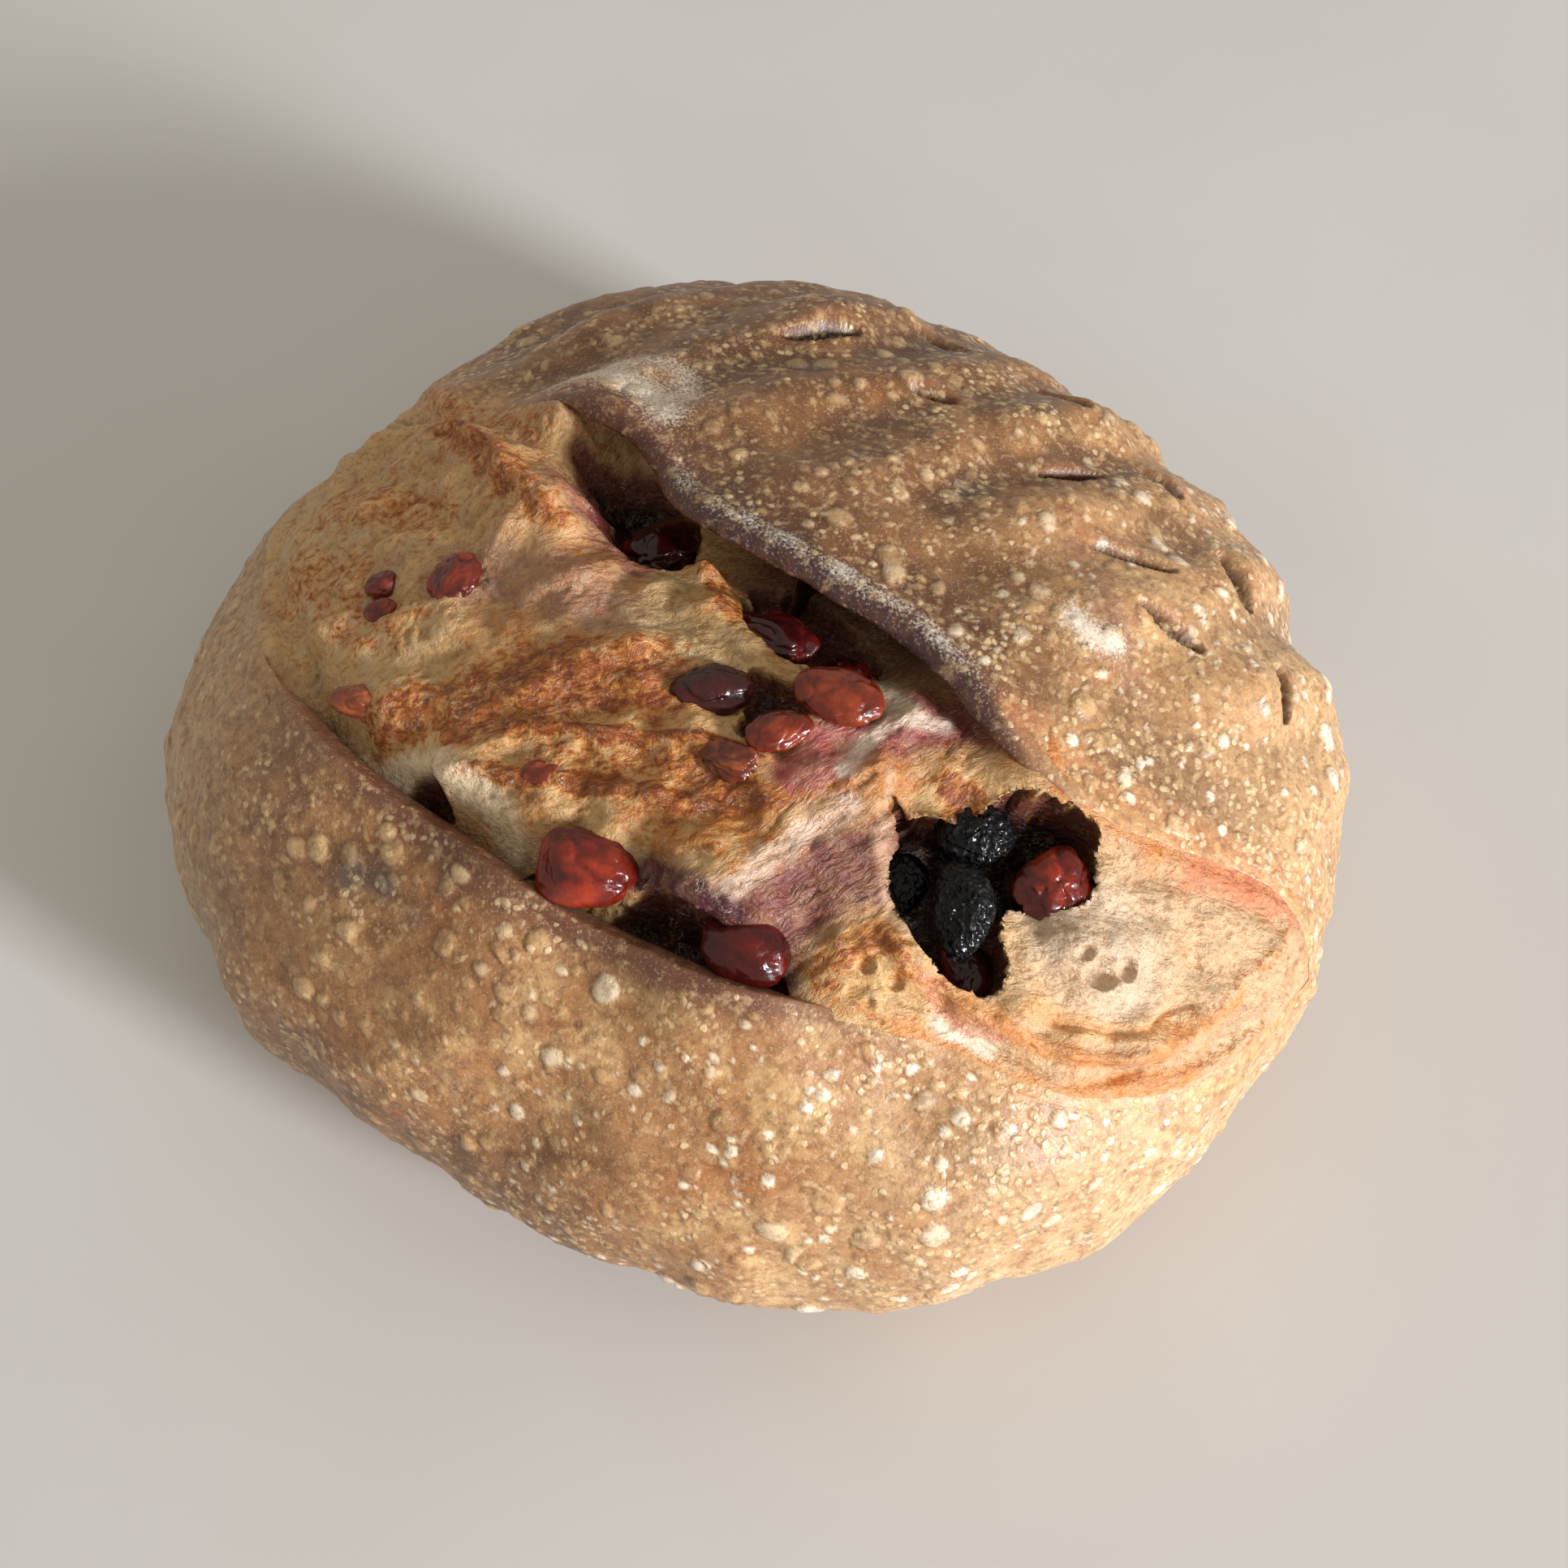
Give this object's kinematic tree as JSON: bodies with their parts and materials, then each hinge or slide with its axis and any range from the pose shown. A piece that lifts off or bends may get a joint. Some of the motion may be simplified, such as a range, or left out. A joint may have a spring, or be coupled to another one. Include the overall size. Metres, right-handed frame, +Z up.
{
  "type": "sourdough loaf",
  "caption": "Small round sourdough loaf with dried fruit, split along one long slash that shows toasted crumb, a curled crust lip and leaf cuts.",
  "frame": {"origin": "centre of the overall bounding box in plan, on the flat underside that the loaf stands on", "axes": "+Z up out of the crown, +X towards the slash's right end as the loaf is seen from its near side, +Y towards the far crust with the leaf cuts"},
  "size_m": [0.1845, 0.1773, 0.0831],
  "materials": {
    "crust": "baked crust, satin where it is toasted and floury on the blisters",
    "dried_cranberry": "wrinkled glossy skin",
    "dried_blueberry": "wrinkled skin with a soft gloss"
  },
  "bodies": {
    "root": {"loaf": "crust", "cranberry_far_pocket": "dried_cranberry", "cranberry_under_ear": "dried_cranberry", "cranberry_under_ear_deep": "dried_cranberry", "cranberry_dark": "dried_cranberry", "cranberry_flat": "dried_cranberry", "cranberry_skin": "dried_cranberry", "cranberry_buried": "dried_cranberry", "cranberry_near_left": "dried_cranberry", "cranberry_near_right": "dried_cranberry", "cranberry_hollow_right": "dried_cranberry", "cranberry_hollow_floor": "dried_cranberry", "cranberry_left_large": "dried_cranberry", "cranberry_left_upper": "dried_cranberry", "cranberry_left_lower": "dried_cranberry", "cranberry_left_brown": "dried_cranberry", "cranberry_speck": "dried_cranberry", "blueberry_upper": "dried_blueberry", "blueberry_lower": "dried_blueberry", "blueberry_shadow": "dried_blueberry"}
  },
  "joints": []
}
